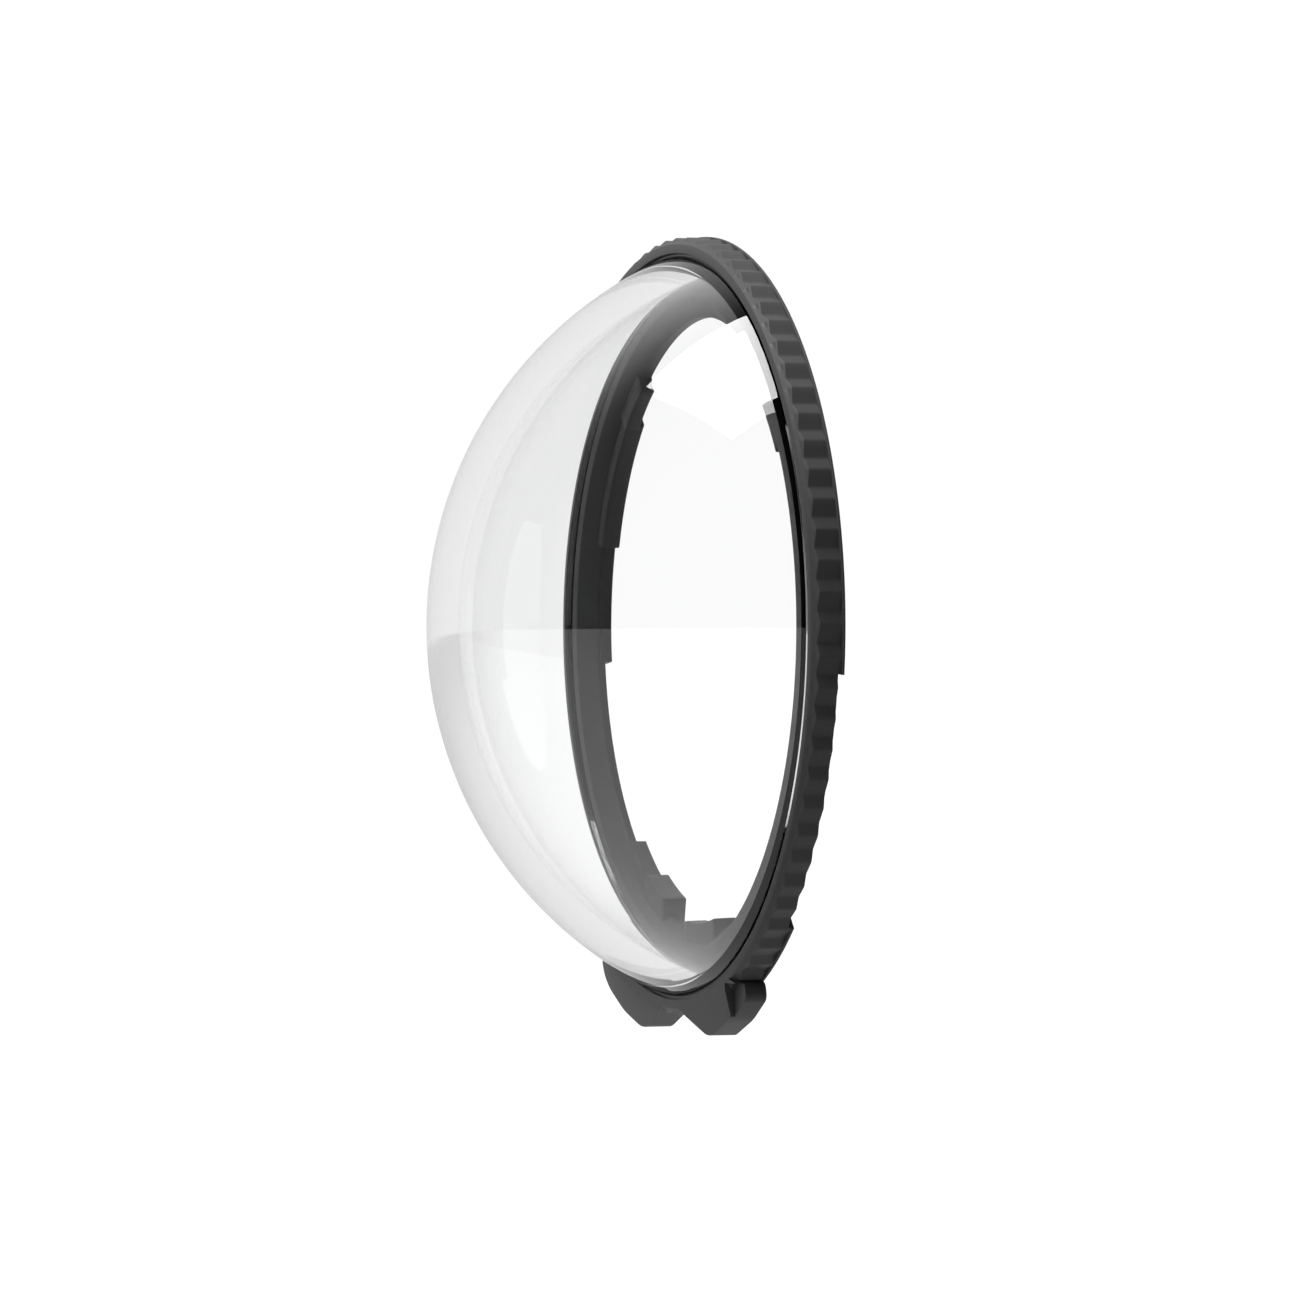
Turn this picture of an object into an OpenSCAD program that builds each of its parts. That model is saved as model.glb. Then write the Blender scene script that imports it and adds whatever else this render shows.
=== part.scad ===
// Dome lens guard: a clear dome bonded into a knurled twist-lock ring.
// Origin: on the ring axis, in the plane of the grip ring's rear face.
// The dome points along -Y, the two grip tabs are at the bottom, and +Z is up.
// Each module is drawn with its axis along +Z and its rear face at z = 0, then turned by upright().

/* [Grip ring] */
// Radius over the knurl crests
ring_r = 22; // [21.8:0.1:24]
// Height from the rear face to the front face
ring_h = 1.85; // [1.8:0.05:2.5]
// Number of knurl teeth
knurl_count = 80; // [60:1:100]
// Depth of the knurl
knurl_depth = 0.23; // [0.1:0.01:0.25]
// Share of each tooth that is its short flank
knurl_short = 0.42; // [0.3:0.01:0.7]
// Thickness of the smooth flange behind the knurl
flange_t = 0.15; // [0.1:0.05:0.3]
// Depth of the finger relief in the flange
relief_depth = 0.32; // [0.2:0.02:0.5]

/* [Grip tabs] */
// Depth of the step in one tab's front
tab_step = 0.6; // [0.3:0.05:0.9]
// Distance from the middle plane to that step
tab_step_x = 8.6; // [8:0.1:9.5]
// Fall of the tabs' fronts for each unit of distance outside the ring
tab_slope = 0.25; // [0.2:0.05:0.5]

/* [Dome] */
// Outside radius of the dome's sphere
dome_r = 23; // [22.5:0.1:24]
// Thickness of the dome's wall
dome_t = 1.8; // [1.5:0.1:2.5]
// Height of the dome above the front face
dome_rise = 13.28; // [12:0.02:14]

/* [Bayonet ring] */
// Radius of the bore
bore_r = 17.3; // [17:0.1:17.6]
// Radius at the top of the funnel, on the dome's seat
funnel_r = 18.26; // [18:0.02:18.6]
// Depth of the dome's seat below the front face
seat_drop = 0.5; // [0.4:0.05:0.6]
// Depth of the funnel's lower edge below the front face
funnel_drop = 1.52; // [1.3:0.02:1.6]
// Height that the bayonet ring stands out behind the grip ring
bayonet_proud = 0.18; // [0.1:0.02:0.3]

/* [Hidden] */
$fn = 180;

face_in_r = ring_r - 0.93;
face_out_r = ring_r - 0.4;
step_r = ring_r - 0.28;
root_r = ring_r - knurl_depth;
ledge_r = ring_r - 2;
step_drop = 0.22;
chamfer_slope = 0.57;

land_r = face_in_r - 0.22;
seat_z = ring_h - seat_drop;
seat_gap = 0.02;
web_t = 0.45;
dome_centre_z = ring_h + dome_rise - dome_r;
bond_top_z = ring_h - 0.15;

tooth_pitch = 360 / knurl_count;
tooth_phase = 4.68;
flange_r = ring_r + 0.04;
lug_root = 0.9;
relief_arc = [-49, -7];
cut = 1;

tab_slope_r = ring_r - 0.1;

// Front outlines of the tabs at +X and at -X, from the notch outwards: distances across and down from the axis
right_tab = [
    [0, 21], [1.6, 21.65], [4.7, 22.88], [5.5, 22.9], [8.25, 21.9], [10.35, 20.65], [10.1, 19.75], [8, 19.3]
];
left_tab = [
    [0, 21], [1.6, 21.65], [4.7, 22.88], [6, 22.9], [8.9, 22.1],
    [11.3, 20.9], [11.9, 20.2], [11.8, 19.3], [8, 19.3]
];

// Lugs and skirts: start angle, end angle, inside radius, depth of the front end and depth of the rear end
lugs = [
    [122, 134.5, 16.3, 1.2, 2.1],
    [134, 163.5, 16.65, 1.35, 2.52],
    [163, 187, 17.2, 1.7, 2.45],
    [229, 243.5, 16.75, 1.3, 2.4],
    [243, 255, 16.2, 1.1, 2.52],
    [268, 285, 16.6, 1.1, 2.45],
    [33, 55, 16.95, 0.9, 2.4],
    [-2, 4, 17.05, 1.0, 2.3]
];

module upright() {
    rotate([90, 0, 0]) children();
}

// A ring section turned about the axis over part of a circle
module arc_sweep(from, to) {
    rotate([0, 0, from]) rotate_extrude(angle = to - from) children();
}

module tooth_outline() {
    polygon([for (i = [0 : knurl_count - 1]) for (side = [0, 1])
        let (turn = tooth_phase + tooth_pitch * (i + side * knurl_short), r = side == 0 ? ring_r : root_r)
        [r * cos(turn), r * sin(turn)]]);
}

module dome() {
    color([0.93, 0.95, 0.96, 0.35]) upright() difference() {
        intersection() {
            translate([0, 0, dome_centre_z]) sphere(r = dome_r);
            translate([0, 0, seat_z + seat_gap]) cylinder(r = land_r, h = dome_rise + ring_h);
        }
        translate([0, 0, dome_centre_z]) sphere(r = dome_r - dome_t);
    }
}

module bond_ring() {
    color([0.03, 0.03, 0.03]) upright() rotate_extrude()
        polygon([[land_r, seat_z], [face_in_r, seat_z], [face_in_r, bond_top_z], [land_r, bond_top_z]]);
}

module bayonet_ring() {
    color([0.16, 0.16, 0.17]) upright() union() {
        rotate_extrude() polygon([
            [bore_r, -bayonet_proud], [ledge_r, -bayonet_proud],
            [ledge_r, seat_z - web_t], [face_in_r, seat_z - web_t],
            [face_in_r, seat_z], [funnel_r, seat_z], [bore_r, ring_h - funnel_drop]
        ]);
        for (i = [0 : len(lugs) - 1]) lug_block(lugs[i], bore_r + lug_root + 0.2 * (i % 2));
    }
}

// One lug or skirt, from its inside radius out to a root inside the bore wall
module lug_block(lug, root_r) {
    arc_sweep(lug[0], lug[1]) polygon([
        [lug[2], ring_h - lug[4]], [root_r, ring_h - lug[4]],
        [root_r, ring_h - lug[3]], [lug[2], ring_h - lug[3]]
    ]);
}

module ring_body() {
    intersection() {
        rotate_extrude() polygon([
            [ledge_r, 0], [ring_r + cut, 0],
            [ring_r + cut, ring_h - step_drop - chamfer_slope * (ring_r + cut - step_r)],
            [step_r, ring_h - step_drop], [face_out_r, ring_h], [face_in_r, ring_h],
            [face_in_r, seat_z - web_t], [ledge_r, seat_z - web_t]
        ]);
        union() {
            translate([0, 0, -cut]) linear_extrude(ring_h + 2 * cut) tooth_outline();
            cylinder(r = flange_r, h = flange_t);
        }
    }
}

// Cut that thins the flange, so that the knurl shows at the rear
module finger_relief() {
    arc_sweep(relief_arc[0], relief_arc[1]) polygon([
        [ring_r - 0.9, -cut], [ring_r + cut, -cut], [ring_r + cut, relief_depth], [ring_r - 0.9, relief_depth]
    ]);
}

// The space under the tabs' sloping fronts
module tab_fall() {
    inner = tab_slope_r - 4;
    outer = tab_slope_r + 4;
    rotate_extrude() polygon([
        [0, -cut], [outer, -cut], [outer, ring_h - 4 * tab_slope],
        [inner, ring_h + 4 * tab_slope], [0, ring_h + 4 * tab_slope]
    ]);
}

// The two tabs, kept outside the ring's own front face
module tabs() {
    difference() {
        intersection() {
            linear_extrude(ring_h) union() {
                polygon([for (p = right_tab) [p[0], -p[1]]]);
                polygon([for (p = left_tab) [-p[0], -p[1]]]);
            }
            tab_fall();
        }
        translate([0, 0, -cut]) cylinder(r = face_in_r + 0.2, h = ring_h + 2 * cut);
        translate([tab_step_x, -ring_r - 2 * cut, ring_h - tab_step]) cube([4, 4.2, tab_step + cut]);
    }
}

module grip_ring() {
    color([0.22, 0.22, 0.23]) upright() union() {
        difference() {
            ring_body();
            finger_relief();
        }
        tabs();
    }
}

dome();
bond_ring();
bayonet_ring();
grip_ring();
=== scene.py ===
"""Dome lens guard: a clear dome bonded into a knurled twist-lock ring.

The ring's axis runs along Y, the dome points along -Y and the grip tabs are at the bottom.
Shapes are drawn in millimetres, as a radius, an angle round the axis and a height above the rear
face, and each finished mesh is scaled to metres.
"""
import math

import bmesh
import bpy
from mathutils import Matrix, Vector


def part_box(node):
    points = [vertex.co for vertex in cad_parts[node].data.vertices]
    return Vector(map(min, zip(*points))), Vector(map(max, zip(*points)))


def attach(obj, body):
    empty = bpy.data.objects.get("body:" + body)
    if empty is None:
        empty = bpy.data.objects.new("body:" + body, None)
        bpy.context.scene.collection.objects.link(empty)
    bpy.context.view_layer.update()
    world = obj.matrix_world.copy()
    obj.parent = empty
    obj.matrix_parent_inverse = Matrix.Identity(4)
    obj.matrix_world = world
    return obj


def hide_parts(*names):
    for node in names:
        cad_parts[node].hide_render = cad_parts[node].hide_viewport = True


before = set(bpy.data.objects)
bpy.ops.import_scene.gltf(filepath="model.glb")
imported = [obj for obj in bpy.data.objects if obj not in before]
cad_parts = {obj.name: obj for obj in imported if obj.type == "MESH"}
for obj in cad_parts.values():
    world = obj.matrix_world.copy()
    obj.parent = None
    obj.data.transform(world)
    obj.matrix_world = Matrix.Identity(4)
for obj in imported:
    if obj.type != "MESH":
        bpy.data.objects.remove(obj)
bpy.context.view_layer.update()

MM = 0.001

# ---------------------------------------------------------------- sizes, in millimetres

GRIP_LOW, GRIP_HIGH = (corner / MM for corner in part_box("grip_ring"))
DOME_LOW, DOME_HIGH = (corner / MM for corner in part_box("dome"))

FLANGE_R = GRIP_HIGH.x
RING_H = -GRIP_LOW.y
FLANGE_PROUD = 0.04
RING_R = FLANGE_R - FLANGE_PROUD
LEDGE_R = RING_R - 2.0
STEP_R = RING_R - 0.28
FACE_OUT_R = RING_R - 0.4
FACE_IN_R = RING_R - 0.93
STEP_DROP = 0.22
CHAMFER_SLOPE = 0.57
KNURL_COUNT = 80
KNURL_DEPTH = 0.23
KNURL_SHORT = 0.42
KNURL_PHASE = math.radians(4.68)
FLANGE_T = 0.15
RELIEF_ARC = (-49, -7)
RELIEF_DEPTH = 0.32

DOME_R = 23.0
DOME_T = 1.8
LAND_R = DOME_HIGH.x
DOME_CENTRE_H = -DOME_LOW.y - DOME_R
DOME_BASE_H = -DOME_HIGH.y

SEAT_DROP = 0.5
FUNNEL_DROP = 1.52
BOND_DROP = 0.15
SEAT_H = RING_H - SEAT_DROP
WEB_T = 0.45
BORE_R = 17.3
FUNNEL_R = 18.26
FUNNEL_H = RING_H - FUNNEL_DROP
BAYONET_PROUD = 0.18

# Front outlines of the tabs, from the notch outwards, with the side of the middle plane that each is on
TAB_OUTLINES = {
    1: [(0, 21), (1.6, 21.65), (4.7, 22.88), (5.5, 22.9), (8.25, 21.9),
        (10.35, 20.65), (10.1, 19.75), (8, 19.3)],
    -1: [(0, 21), (1.6, 21.65), (4.7, 22.88), (6, 22.9), (8.9, 22.1),
         (11.3, 20.9), (11.9, 20.2), (11.8, 19.3), (8, 19.3)],
}
TAB_SLOPE = 0.25
TAB_SLOPE_R = RING_R - 0.1
TAB_ROUNDING = 0.5
TAB_STEP_X = 8.6
TAB_STEP = 0.6

# Lugs and skirts: start and end angles, inside radius, then how far the front and the rear ends lie
# below the front face
LUGS = [
    (122, 134.5, 16.3, 1.2, 2.1),
    (134, 163.5, 16.65, 1.35, 2.52),
    (163, 187, 17.2, 1.7, 2.45),
    (229, 243.5, 16.75, 1.3, 2.4),
    (243, 255, 16.2, 1.1, 2.52),
    (268, 285, 16.6, 1.1, 2.45),
    (33, 55, 16.95, 0.9, 2.4),
    (-2, 4, 17.05, 1.0, 2.3),
]
LUG_ROOT_R = BORE_R + 0.9


# ---------------------------------------------------------------- mesh helpers

def place(r, turn, h):
    return Vector((r * math.cos(turn), -h, r * math.sin(turn)))


def spread(start, end, count):
    return [start + (end - start) * i / (count - 1) for i in range(count)]


def rounded(outline, radius, steps=3):
    """The closed outline with each corner turned into a short curve."""
    points = [Vector(p) for p in outline]
    result = []
    for i, corner in enumerate(points):
        before, after = points[i - 1] - corner, points[(i + 1) % len(points)] - corner
        reach = min(radius, 0.4 * before.length, 0.4 * after.length)
        start, end = corner + before.normalized() * reach, corner + after.normalized() * reach
        for t in spread(0, 1, steps):
            result.append(start * (1 - t) ** 2 + corner * 2 * t * (1 - t) + end * t ** 2)
    return [tuple(p) for p in result]


def lathe(outline, turns, full_turn=True, closed=True):
    """A bmesh of the outline carried round the axis through the given angles."""
    bm = bmesh.new()
    rings = [[bm.verts.new(place(r, turn, h)) for r, h in outline] for turn in turns]
    if full_turn:
        rings.append(rings[0])
    else:
        bm.faces.new(rings[0])
        bm.faces.new(rings[-1])
    count = len(outline)
    for near, far in zip(rings, rings[1:]):
        for j in range(count if closed else count - 1):
            k = (j + 1) % count
            bm.faces.new((near[j], near[k], far[k], far[j]))
    return tidy(bm)


def circle(count):
    return [math.tau * i / count for i in range(count)]


def tidy(bm):
    bmesh.ops.remove_doubles(bm, verts=bm.verts, dist=1e-4)
    bmesh.ops.recalc_face_normals(bm, faces=bm.faces)
    return bm


def soften(bm, width, angle=30, segments=2):
    sharp = [e for e in bm.edges if e.is_manifold and e.calc_face_angle(0) > math.radians(angle)]
    bmesh.ops.bevel(bm, geom=sharp, offset=width, segments=segments, profile=0.5, affect="EDGES",
                    clamp_overlap=True)
    return tidy(bm)


def prism(outline, low, high):
    """A bmesh of an X-Z outline carried from one height to another."""
    bm = bmesh.new()
    ends = [[bm.verts.new((x, -h, z)) for x, z in outline] for h in (low, high)]
    for end in ends:
        bm.faces.new(end)
    for i in range(len(outline)):
        k = (i + 1) % len(outline)
        bm.faces.new((ends[0][i], ends[0][k], ends[1][k], ends[1][i]))
    return tidy(bm)


def as_object(name, bm):
    mesh = bpy.data.meshes.new(name)
    bm.to_mesh(mesh)
    bm.free()
    obj = bpy.data.objects.new(name, mesh)
    bpy.context.scene.collection.objects.link(obj)
    return obj


def baked(obj, name):
    """The object's evaluated mesh as a new plain object; the old one is removed."""
    shape = obj.evaluated_get(bpy.context.evaluated_depsgraph_get())
    mesh = bpy.data.meshes.new_from_object(shape)
    bpy.data.objects.remove(obj)
    result = bpy.data.objects.new(name, mesh)
    bpy.context.scene.collection.objects.link(result)
    return result


def carve(obj, tool, operation):
    """Adds or cuts the tool's solid, which is removed afterwards."""
    step = obj.modifiers.new(operation.lower(), "BOOLEAN")
    step.operation = operation
    step.solver = "EXACT"
    step.object = tool
    name = obj.name
    result = baked(obj, name + "_shape")
    bpy.data.objects.remove(tool)
    result.name = name
    return result


def joined(parts):
    """One bmesh that holds all of the given ones."""
    whole = bmesh.new()
    for part in parts:
        mesh = bpy.data.meshes.new("part")
        part.to_mesh(mesh)
        part.free()
        whole.from_mesh(mesh)
        bpy.data.meshes.remove(mesh)
    return whole


def finish_piece(obj, material, node, sharp_angle=32):
    """Scales the piece to metres, shades it and ties it to the frame."""
    mesh = obj.data
    mesh.transform(Matrix.Scale(MM, 4))
    mesh.shade_smooth()
    mesh.set_sharp_from_angle(angle=math.radians(sharp_angle))
    mesh.materials.clear()
    mesh.materials.append(material)
    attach(obj, "root")
    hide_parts(node)
    return obj


# ---------------------------------------------------------------- node helpers

def socket(group, name, direction, kind, default=None):
    made = group.interface.new_socket(name=name, in_out=direction, socket_type=kind)
    if default is not None:
        made.default_value = default
    return made


def wire(tree, source, target):
    tree.links.new(source, target)


def add_node(tree, kind, **values):
    node = tree.nodes.new(kind)
    for name, value in values.items():
        setattr(node, name, value)
    return node


def moulded_skin_group():
    """Fine mould texture: colour that drifts a little, uneven sheen and a low grain."""
    group = bpy.data.node_groups.new("moulded skin", "ShaderNodeTree")
    socket(group, "Vector", "INPUT", "NodeSocketVector")
    socket(group, "Color", "INPUT", "NodeSocketColor", (0.05, 0.05, 0.05, 1))
    socket(group, "Grain per metre", "INPUT", "NodeSocketFloat", 9000.0)
    socket(group, "Roughness", "INPUT", "NodeSocketFloat", 0.45)
    socket(group, "Drift", "INPUT", "NodeSocketFloat", 0.15)
    socket(group, "Color", "OUTPUT", "NodeSocketColor")
    socket(group, "Roughness", "OUTPUT", "NodeSocketFloat")
    socket(group, "Height", "OUTPUT", "NodeSocketFloat")
    inside = add_node(group, "NodeGroupInput").outputs
    out = add_node(group, "NodeGroupOutput").inputs

    grain = add_node(group, "ShaderNodeTexNoise")
    grain.inputs["Detail"].default_value = 3.0
    grain.inputs["Roughness"].default_value = 0.6
    wire(group, inside["Vector"], grain.inputs["Vector"])
    wire(group, inside["Grain per metre"], grain.inputs["Scale"])

    patches = add_node(group, "ShaderNodeTexNoise")
    patches.inputs["Scale"].default_value = 260.0
    patches.inputs["Detail"].default_value = 4.0
    wire(group, inside["Vector"], patches.inputs["Vector"])

    centred = add_node(group, "ShaderNodeMath", operation="SUBTRACT")
    centred.inputs[1].default_value = 0.5
    wire(group, patches.outputs["Fac"], centred.inputs[0])
    drift = add_node(group, "ShaderNodeMath", operation="MULTIPLY_ADD")
    drift.inputs[2].default_value = 1.0
    wire(group, centred.outputs[0], drift.inputs[0])
    wire(group, inside["Drift"], drift.inputs[1])

    tint = add_node(group, "ShaderNodeVectorMath", operation="SCALE")
    wire(group, inside["Color"], tint.inputs[0])
    wire(group, drift.outputs[0], tint.inputs["Scale"])
    wire(group, tint.outputs[0], out["Color"])

    sheen = add_node(group, "ShaderNodeMath", operation="MULTIPLY")
    wire(group, inside["Roughness"], sheen.inputs[0])
    wire(group, drift.outputs[0], sheen.inputs[1])
    wire(group, sheen.outputs[0], out["Roughness"])
    wire(group, grain.outputs["Fac"], out["Height"])
    return group


def moulded_plastic(name, colour, roughness, grain, bump, skin):
    material = bpy.data.materials.new(name)
    material.use_nodes = True
    tree = material.node_tree
    shader = tree.nodes["Principled BSDF"]
    coordinates = add_node(tree, "ShaderNodeTexCoord")
    surface = add_node(tree, "ShaderNodeGroup", node_tree=skin)
    surface.inputs["Color"].default_value = (*colour, 1)
    shader.inputs["Specular IOR Level"].default_value = 0.25
    surface.inputs["Grain per metre"].default_value = grain
    surface.inputs["Roughness"].default_value = roughness
    relief = add_node(tree, "ShaderNodeBump")
    relief.inputs["Strength"].default_value = bump
    relief.inputs["Distance"].default_value = 0.00002
    wire(tree, coordinates.outputs["Object"], surface.inputs["Vector"])
    wire(tree, surface.outputs["Color"], shader.inputs["Base Color"])
    wire(tree, surface.outputs["Roughness"], shader.inputs["Roughness"])
    wire(tree, surface.outputs["Height"], relief.inputs["Height"])
    wire(tree, relief.outputs["Normal"], shader.inputs["Normal"])
    return material


def clear_dome_material(skin):
    """Polished clear moulding with a very faint unevenness in its polish."""
    material = bpy.data.materials.new("clear dome")
    material.use_nodes = True
    tree = material.node_tree
    shader = tree.nodes["Principled BSDF"]
    shader.inputs["Base Color"].default_value = (0.995, 0.997, 0.998, 1)
    shader.inputs["Transmission Weight"].default_value = 1.0
    shader.inputs["IOR"].default_value = 1.49
    coordinates = add_node(tree, "ShaderNodeTexCoord")
    polish = add_node(tree, "ShaderNodeGroup", node_tree=skin)
    polish.inputs["Grain per metre"].default_value = 1500.0
    polish.inputs["Roughness"].default_value = 0.012
    polish.inputs["Drift"].default_value = 0.9
    wire(tree, coordinates.outputs["Object"], polish.inputs["Vector"])
    wire(tree, polish.outputs["Roughness"], shader.inputs["Roughness"])
    return material


# ---------------------------------------------------------------- grip ring

def tooth_radius(part):
    """Radius of the knurl at a place within one tooth, from its crest at 0 to the next crest at 1."""
    if part < KNURL_SHORT:
        depth = part / KNURL_SHORT
    else:
        depth = (1 - part) / (1 - KNURL_SHORT)
    return RING_R - KNURL_DEPTH * depth


def ring_section(crest_r):
    """Closed section of the grip ring where the knurl stands at the given radius."""
    chamfer_h = RING_H - STEP_DROP - CHAMFER_SLOPE * (crest_r - STEP_R)
    edge = 0.03
    return [
        (LEDGE_R, 0), (FLANGE_R - edge, 0), (FLANGE_R, edge), (FLANGE_R, FLANGE_T - edge),
        (FLANGE_R - edge, FLANGE_T), (crest_r, FLANGE_T + 0.01), (crest_r, chamfer_h - edge),
        (crest_r - edge, chamfer_h + edge * 0.5), (STEP_R, RING_H - STEP_DROP),
        (FACE_OUT_R + 0.02, RING_H - edge), (FACE_OUT_R - edge, RING_H), (FACE_IN_R + edge, RING_H),
        (FACE_IN_R, RING_H - edge), (FACE_IN_R, SEAT_H - WEB_T), (LEDGE_R, SEAT_H - WEB_T),
    ]


def tooth_slice():
    """One knurl tooth with the length of ring behind it, open at both ends."""
    ease = 0.06
    blunting = 0.012
    parts = [0, ease, KNURL_SHORT - ease, KNURL_SHORT, KNURL_SHORT + ease, 0.7, 1 - ease, 1]
    pitch = math.tau / KNURL_COUNT
    bm = bmesh.new()
    rows = []
    for part in parts:
        radius = tooth_radius(part)
        if part in (0, 1):
            radius -= blunting
        if part == KNURL_SHORT:
            radius += blunting
        turn = KNURL_PHASE + part * pitch
        rows.append([bm.verts.new(place(r, turn, h)) for r, h in ring_section(radius)])
    for near, far in zip(rows, rows[1:]):
        for j in range(len(near)):
            k = (j + 1) % len(near)
            bm.faces.new((near[j], far[j], far[k], near[k]))
    return bm


def knurl_tree():
    """Geometry Nodes: sets one tooth slice round the axis and welds the slices into a ring."""
    tree = bpy.data.node_groups.new("knurled ring", "GeometryNodeTree")
    socket(tree, "Tooth", "INPUT", "NodeSocketObject")
    socket(tree, "Tooth count", "INPUT", "NodeSocketInt", KNURL_COUNT)
    socket(tree, "Weld distance", "INPUT", "NodeSocketFloat", 0.0005)
    socket(tree, "Material", "INPUT", "NodeSocketMaterial")
    socket(tree, "Geometry", "OUTPUT", "NodeSocketGeometry")
    inside = add_node(tree, "NodeGroupInput").outputs
    out = add_node(tree, "NodeGroupOutput").inputs

    spots = add_node(tree, "GeometryNodeMeshLine")
    spots.inputs["Offset"].default_value = (0, 0, 0)
    wire(tree, inside["Tooth count"], spots.inputs["Count"])
    tooth = add_node(tree, "GeometryNodeObjectInfo")
    wire(tree, inside["Tooth"], tooth.inputs["Object"])

    pitch = add_node(tree, "ShaderNodeMath", operation="DIVIDE")
    pitch.inputs[0].default_value = -math.tau
    wire(tree, inside["Tooth count"], pitch.inputs[1])
    turn = add_node(tree, "ShaderNodeMath", operation="MULTIPLY")
    index = add_node(tree, "GeometryNodeInputIndex")
    wire(tree, index.outputs[0], turn.inputs[0])
    wire(tree, pitch.outputs[0], turn.inputs[1])
    about_axis = add_node(tree, "ShaderNodeCombineXYZ")
    wire(tree, turn.outputs[0], about_axis.inputs["Y"])

    copies = add_node(tree, "GeometryNodeInstanceOnPoints")
    wire(tree, spots.outputs["Mesh"], copies.inputs["Points"])
    wire(tree, tooth.outputs["Geometry"], copies.inputs["Instance"])
    wire(tree, about_axis.outputs[0], copies.inputs["Rotation"])
    real = add_node(tree, "GeometryNodeRealizeInstances")
    wire(tree, copies.outputs[0], real.inputs[0])
    weld = add_node(tree, "GeometryNodeMergeByDistance")
    wire(tree, real.outputs[0], weld.inputs["Geometry"])
    wire(tree, inside["Weld distance"], weld.inputs["Distance"])
    paint = add_node(tree, "GeometryNodeSetMaterial")
    wire(tree, weld.outputs[0], paint.inputs["Geometry"])
    wire(tree, inside["Material"], paint.inputs["Material"])
    wire(tree, paint.outputs[0], out["Geometry"])
    return tree


def knurled_ring(material):
    tooth = as_object("tooth", tooth_slice())
    host = bpy.data.objects.new("knurl host", bpy.data.meshes.new("knurl host"))
    bpy.context.scene.collection.objects.link(host)
    tree = knurl_tree()
    repeat = host.modifiers.new("knurl", "NODES")
    repeat.node_group = tree
    values = {"Tooth": tooth, "Tooth count": KNURL_COUNT, "Weld distance": 0.0005, "Material": material}
    for item in tree.interface.items_tree:
        if item.in_out == "INPUT":
            repeat[item.identifier] = values[item.name]
    ring = baked(host, "grip_ring_body")
    bpy.data.objects.remove(tooth)
    return ring


def tab_solid(side):
    outline = [(side * x, -z) for x, z in rounded(TAB_OUTLINES[side], TAB_ROUNDING, steps=5)]
    return prism(outline, 0, RING_H)


def grip_ring(material):
    ring = knurled_ring(material)
    relief = rounded([
        (RING_R - 0.9, -1), (RING_R + 1, -1), (RING_R + 1, RELIEF_DEPTH), (RING_R - 0.9, RELIEF_DEPTH)], 0.01)
    turns = [math.radians(a) for a in spread(*RELIEF_ARC, 60)]
    ring = carve(ring, as_object("relief cut", lathe(relief, turns, full_turn=False)), "DIFFERENCE")
    bore = [(0, -1), (FACE_IN_R + 0.2, -1), (FACE_IN_R + 0.2, RING_H + 1), (0, RING_H + 1)]
    reach = 4
    fall = [(0, -1), (TAB_SLOPE_R + reach, -1), (TAB_SLOPE_R + reach, RING_H - reach * TAB_SLOPE),
            (TAB_SLOPE_R - reach, RING_H + reach * TAB_SLOPE), (0, RING_H + reach * TAB_SLOPE)]
    for side in (-1, 1):
        tab = as_object("tab", tab_solid(side))
        tab = carve(tab, as_object("tab front", lathe(fall, circle(240), closed=False)), "INTERSECT")
        tab = carve(tab, as_object("ring space", lathe(bore, circle(240), closed=False)), "DIFFERENCE")
        if side == 1:
            step = [(TAB_STEP_X, -RING_R - 2), (TAB_STEP_X + 4, -RING_R - 2),
                    (TAB_STEP_X + 4, -RING_R + 2.2), (TAB_STEP_X, -RING_R + 2.2)]
            tab = carve(tab, as_object("tab step", prism(step, RING_H - TAB_STEP, RING_H + 1)), "DIFFERENCE")
        ring = carve(ring, tab, "UNION")
    ring.name = "grip_ring_body"
    return finish_piece(ring, material, "grip_ring")


# ---------------------------------------------------------------- bayonet ring, dome and adhesive

def bayonet_ring(material):
    """The dome's seat, the funnel below it, the bore and its lugs and skirts, as one moulding."""
    section = rounded([
        (BORE_R, -BAYONET_PROUD), (LEDGE_R - 0.01, -BAYONET_PROUD), (LEDGE_R - 0.01, SEAT_H - WEB_T),
        (FACE_IN_R - 0.01, SEAT_H - WEB_T), (FACE_IN_R - 0.01, SEAT_H), (FUNNEL_R, SEAT_H), (BORE_R, FUNNEL_H),
    ], 0.05)
    parts = [lathe(section, circle(240))]
    for start, end, inside_r, front, rear in LUGS:
        lug = [(inside_r, RING_H - rear), (LUG_ROOT_R, RING_H - rear),
               (LUG_ROOT_R, RING_H - front), (inside_r, RING_H - front)]
        turns = [math.radians(a) for a in spread(start, end, max(4, int((end - start) / 1.5)))]
        parts.append(soften(lathe(lug, turns, full_turn=False), 0.09, angle=40))
    ring = as_object("bayonet_ring_body", joined(parts))
    return finish_piece(ring, material, "bayonet_ring")


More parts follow.
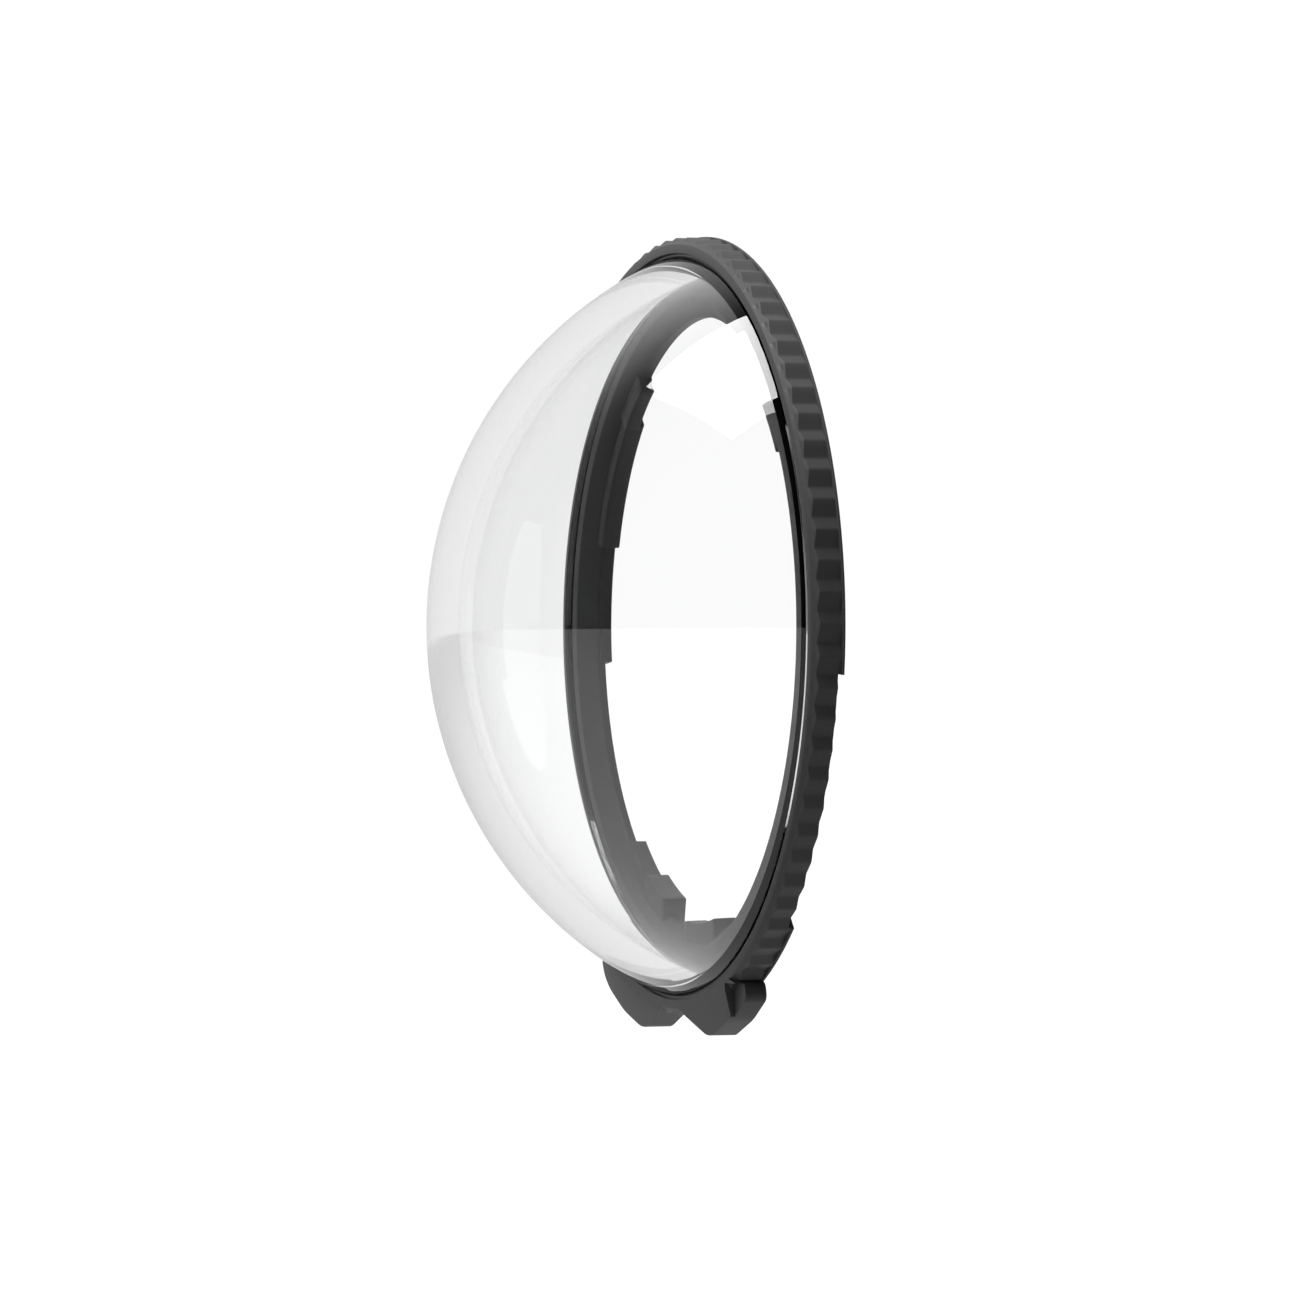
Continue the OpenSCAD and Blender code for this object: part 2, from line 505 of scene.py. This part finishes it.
def dome(material):
    inner_r = DOME_R - DOME_T
    outer_end = math.asin(LAND_R / DOME_R)
    inner_end = math.acos((DOME_BASE_H - DOME_CENTRE_H) / inner_r)
    edge = 0.08
    outer = [(DOME_R * math.sin(a), DOME_CENTRE_H + DOME_R * math.cos(a)) for a in spread(0, outer_end, 56)]
    inner = [(inner_r * math.sin(a), DOME_CENTRE_H + inner_r * math.cos(a)) for a in spread(inner_end, 0, 56)]
    base = [(LAND_R, DOME_BASE_H + edge), (LAND_R - edge, DOME_BASE_H), (inner[0][0] + 0.01, DOME_BASE_H)]
    shell = as_object("dome_shell", lathe(outer + base + inner, circle(240), closed=False))
    return finish_piece(shell, material, "dome", sharp_angle=25)


def bond_ring(material):
    top = RING_H - BOND_DROP
    bead = [(LAND_R + 0.005, SEAT_H + 0.01), (FACE_IN_R - 0.005, SEAT_H + 0.01), (FACE_IN_R - 0.005, top)]
    middle = (LAND_R + FACE_IN_R) / 2
    bead += [(middle + 0.06, top - 0.05), (middle - 0.04, top - 0.05), (LAND_R + 0.005, top - 0.01)]
    bead_ring = as_object("adhesive_bead", lathe(bead, circle(240)))
    return finish_piece(bead_ring, material, "bond_ring")


# ---------------------------------------------------------------- studio

CAMERA_TURN = math.radians(69.6)
KEY_DIRECTION = Vector((-0.45, -0.68, 0.58)).normalized()
BACKDROP_DIRECTION = Vector((-math.sin(CAMERA_TURN), math.cos(CAMERA_TURN), 0))
SEEN_WHITE = 1.04
MIRRORED_FLOOR = 0.6


def math_node(tree, operation, first, second):
    """The output of a Math node; the second input is a node output or a plain number."""
    node = add_node(tree, "ShaderNodeMath", operation=operation)
    wire(tree, first, node.inputs[0])
    if isinstance(second, float):
        node.inputs[1].default_value = second
    else:
        wire(tree, second, node.inputs[1])
    return node.outputs[0]


def seen_directly(tree):
    """1 for what is seen straight or through clear glass, 0 after a diffuse or a mirrored bounce."""
    path = add_node(tree, "ShaderNodeLightPath").outputs
    clear = math_node(tree, "MAXIMUM", path["Is Camera Ray"], path["Is Transmission Ray"])
    bounces = math_node(tree, "ADD", path["Diffuse Depth"], path["Glossy Depth"])
    return math_node(tree, "MULTIPLY", clear, math_node(tree, "LESS_THAN", bounces, 0.5))


def brightness_towards(tree, target, start, end, low, high):
    """A level that rises smoothly from low to high as a direction turns towards the target."""
    direction = add_node(tree, "ShaderNodeTexCoord")
    towards = add_node(tree, "ShaderNodeVectorMath", operation="DOT_PRODUCT")
    towards.inputs[1].default_value = target
    wire(tree, direction.outputs["Generated"], towards.inputs[0])
    level = add_node(tree, "ShaderNodeMapRange", interpolation_type="SMOOTHSTEP")
    for name, value in (("From Min", start), ("From Max", end), ("To Min", low), ("To Max", high)):
        level.inputs[name].default_value = value
    wire(tree, towards.outputs["Value"], level.inputs["Value"])
    return level.outputs["Result"]


def mix_levels(tree, factor, first, second):
    """The first level where the factor is 0 and the second where it is 1."""
    mix = add_node(tree, "ShaderNodeMix", data_type="FLOAT")
    wire(tree, factor, mix.inputs["Factor"])
    wire(tree, first, mix.inputs["A"])
    if isinstance(second, float):
        mix.inputs["B"].default_value = second
    else:
        wire(tree, second, mix.inputs["B"])
    return mix.outputs["Result"]


def studio_world():
    """A white surround: soft light from the dome's side and above, and a backdrop for mirrored rays."""
    world = bpy.data.worlds.new("studio")
    bpy.context.scene.world = world
    world.use_nodes = True
    tree = world.node_tree
    background = tree.nodes["Background"]
    background.inputs["Color"].default_value = (1, 1, 1, 1)
    fill = brightness_towards(tree, KEY_DIRECTION, 0.0, 1.0, 0.02, 1.5)
    backdrop = brightness_towards(tree, BACKDROP_DIRECTION, 0.1, 0.6, 0.04, 0.85)
    diffuse_depth = add_node(tree, "ShaderNodeLightPath").outputs["Diffuse Depth"]
    surround = mix_levels(tree, math_node(tree, "GREATER_THAN", diffuse_depth, 0.5), backdrop, fill)
    wire(tree, mix_levels(tree, seen_directly(tree), surround, SEEN_WHITE), background.inputs["Strength"])


def pale_floor():
    size = 6.0
    height = -0.06
    bm = bmesh.new()
    bmesh.ops.create_grid(bm, x_segments=1, y_segments=1, size=size)
    bmesh.ops.translate(bm, verts=bm.verts, vec=(0, 0, height))
    floor = as_object("floor", bm)
    material = bpy.data.materials.new("pale floor")
    material.use_nodes = True
    tree = material.node_tree
    shader = tree.nodes["Principled BSDF"]
    shader.inputs["Base Color"].default_value = (0.14, 0.14, 0.14, 1)
    shader.inputs["Roughness"].default_value = 1.0
    shader.inputs["Specular IOR Level"].default_value = 0.0
    shader.inputs["Emission Color"].default_value = (1, 1, 1, 1)
    diffuse_depth = add_node(tree, "ShaderNodeLightPath").outputs["Diffuse Depth"]
    before_diffuse = math_node(tree, "LESS_THAN", diffuse_depth, 0.5)
    mirrored = math_node(tree, "MULTIPLY", before_diffuse, MIRRORED_FLOOR)
    glow = math_node(tree, "MAXIMUM", mirrored, seen_directly(tree))
    wire(tree, glow, shader.inputs["Emission Strength"])
    floor.data.materials.append(material)


def softbox(name, position, size, power):
    data = bpy.data.lights.new(name, "AREA")
    data.shape = "SQUARE"
    data.size = size
    data.energy = power
    light = bpy.data.objects.new(name, data)
    bpy.context.scene.collection.objects.link(light)
    light.location = position
    light.rotation_euler = (-Vector(position)).to_track_quat("-Z", "Y").to_euler()


def camera():
    distance = 0.4332
    towards_camera = Vector((math.sin(CAMERA_TURN), -math.cos(CAMERA_TURN), 0))
    right = Vector((math.cos(CAMERA_TURN), math.sin(CAMERA_TURN), 0))
    target = Vector((0, -RING_H, 0)) * MM - right * 0.00112 - Vector((0, 0, 0.00136))
    data = bpy.data.cameras.new("camera")
    data.lens = 212.0
    data.sensor_width = 36.0
    data.clip_start = 0.01
    data.clip_end = 50.0
    view = bpy.data.objects.new("camera", data)
    bpy.context.scene.collection.objects.link(view)
    view.location = target + towards_camera * distance
    view.rotation_euler = (-towards_camera).to_track_quat("-Z", "Y").to_euler()
    bpy.context.scene.camera = view


# ---------------------------------------------------------------- the guard in its studio

skin = moulded_skin_group()
outer_plastic = moulded_plastic("charcoal plastic", (0.05, 0.05, 0.051), 0.5, 9000.0, 0.35, skin)
inner_plastic = moulded_plastic("inner charcoal plastic", (0.05, 0.05, 0.051), 0.5, 9000.0, 0.3, skin)
adhesive = moulded_plastic("cured adhesive", (0.008, 0.008, 0.008), 0.3, 2500.0, 0.25, skin)

grip_ring(outer_plastic)
bayonet_ring(inner_plastic)
dome(clear_dome_material(skin))
bond_ring(adhesive)

studio_world()
pale_floor()
softbox("top softbox", (0.0, -0.13, 0.40), 0.24, 2.6)
camera()
bpy.context.scene.view_settings.view_transform = "Standard"
